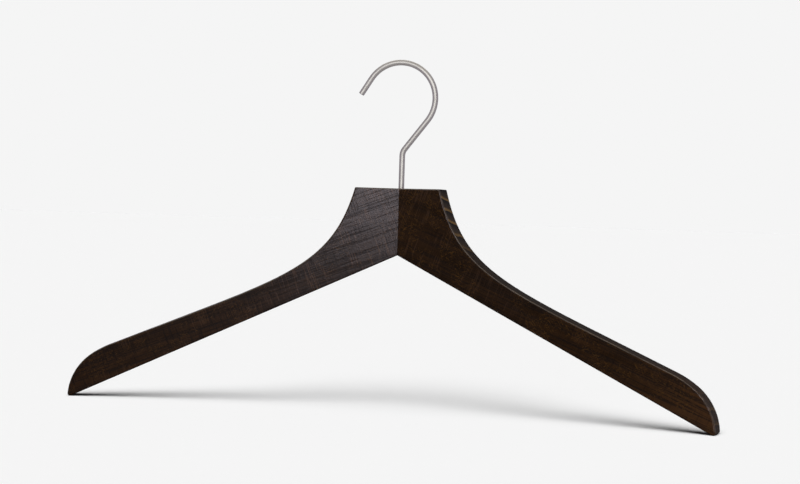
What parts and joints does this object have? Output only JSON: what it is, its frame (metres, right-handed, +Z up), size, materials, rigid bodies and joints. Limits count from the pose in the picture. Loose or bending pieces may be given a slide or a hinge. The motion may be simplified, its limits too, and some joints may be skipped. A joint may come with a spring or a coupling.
{
  "type": "wooden clothes hanger",
  "caption": "Dark-stained wooden clothes hanger with two mitred arms and a steel wire hook that swivels in the neck.",
  "frame": {"origin": "on the swivel axis, at the underside of the hook's crown, where the hanger rests on a rail", "axes": "+X from the left arm to the right arm as seen from the front, +Z up along the swivel axis, -Y the front, which the arms come forward to"},
  "size_m": [0.4494, 0.0666, 0.2432],
  "materials": {
    "stained_wood": "dark espresso stain under a thin satin lacquer",
    "satin_steel_wire": "satin drawn wire",
    "bush_brass": "turned, uncoated",
    "spring_steel": "oiled spring steel",
    "beech_dowel": "raw beech, fluted"
  },
  "bodies": {
    "swivel_hook": {"hook": "satin_steel_wire", "retaining_ring": "spring_steel"},
    "wooden_body": {"left_arm": "stained_wood", "right_arm": "stained_wood", "swivel_bush": "bush_brass", "dowel_upper": "beech_dowel", "dowel_lower": "beech_dowel"}
  },
  "joints": [
    {"name": "hook_swivel", "type": "hinge", "parent": "swivel_hook", "child": "wooden_body", "pos_m": [0, 0, -0.0867], "axis": [0, 0, 1], "continuous": true}
  ]
}
